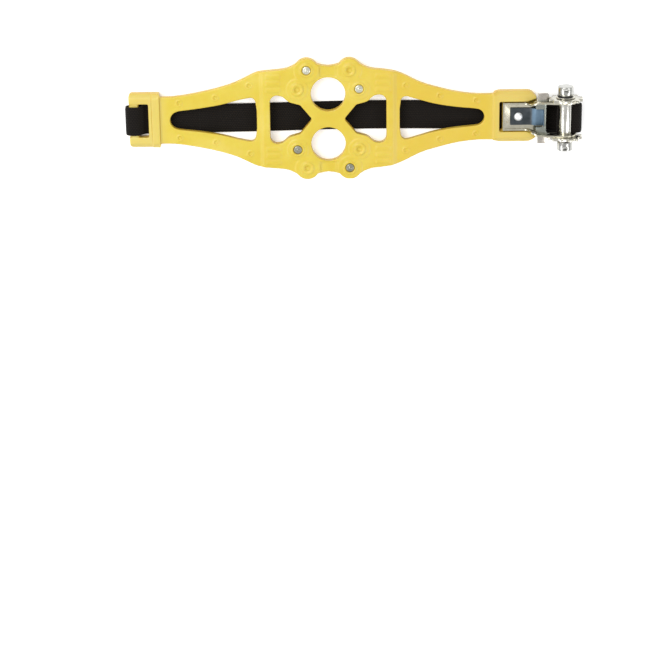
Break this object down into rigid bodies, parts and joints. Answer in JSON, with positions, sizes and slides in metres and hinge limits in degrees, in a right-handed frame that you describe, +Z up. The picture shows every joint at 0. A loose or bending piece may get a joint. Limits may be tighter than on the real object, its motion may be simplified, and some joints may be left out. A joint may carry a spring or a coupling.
{
  "type": "strap-on tyre snow grip",
  "caption": "Elastic studded tread plate that straps across a tyre, with a webbing strap sewn to one end and a small ratchet on the other.",
  "frame": {"origin": "on the surface that the part lies on, under the middle of its bounding box", "axes": "+X along the plate towards the ratchet, +Y across the plate, +Z up, away from the tyre when fitted"},
  "size_m": [0.3834, 0.1044, 0.0296],
  "materials": {
    "yellow_polymer": "satin elastic polyurethane, slightly translucent",
    "black_webbing": "tight flat weave, matt",
    "zinc_steel": "bright zinc plate with a faint yellow cast",
    "bright_steel": "bright turned steel",
    "blued_steel": "blued spring steel, dark where flat and paler blue at the bend",
    "blackened_steel": "dark phosphated steel, satin",
    "stud_steel": "satin pressed steel"
  },
  "bodies": {
    "root": {"tread_plate": "yellow_polymer", "stud_outer_left": "stud_steel", "stud_inner_right": "stud_steel", "stud_inner_left": "stud_steel", "stud_outer_right": "stud_steel", "webbing_strap": "black_webbing", "ratchet_frame": "zinc_steel", "pawl_spring": "blued_steel", "anchor_rivet": "bright_steel", "anchor_washer": "zinc_steel"},
    "spindle": {"webbing_in_spindle": "black_webbing", "spindle_half_upper": "bright_steel", "spindle_half_lower": "bright_steel", "ratchet_wheel_front": "zinc_steel", "ratchet_wheel_back": "zinc_steel", "retaining_ring_front": "blackened_steel", "retaining_ring_back": "blackened_steel", "drive_hub_front": "bright_steel", "drive_hub_back": "bright_steel", "thrust_washer_front": "zinc_steel", "thrust_washer_back": "zinc_steel"},
    "pawl": {"pawl": "zinc_steel"}
  },
  "joints": [
    {"name": "spindle_turn", "type": "hinge", "parent": "root", "child": "spindle", "pos_m": [0.17729, 0, 0.0152], "axis": [0, -1, 0], "continuous": true},
    {"name": "pawl_slide", "type": "slide", "parent": "root", "child": "pawl", "axis": [-1, 0, 0], "range_m": [0, 0.0028], "stiffness_N_per_m": 600, "springref_m": -0.002, "deforming": ["pawl_spring"]}
  ]
}
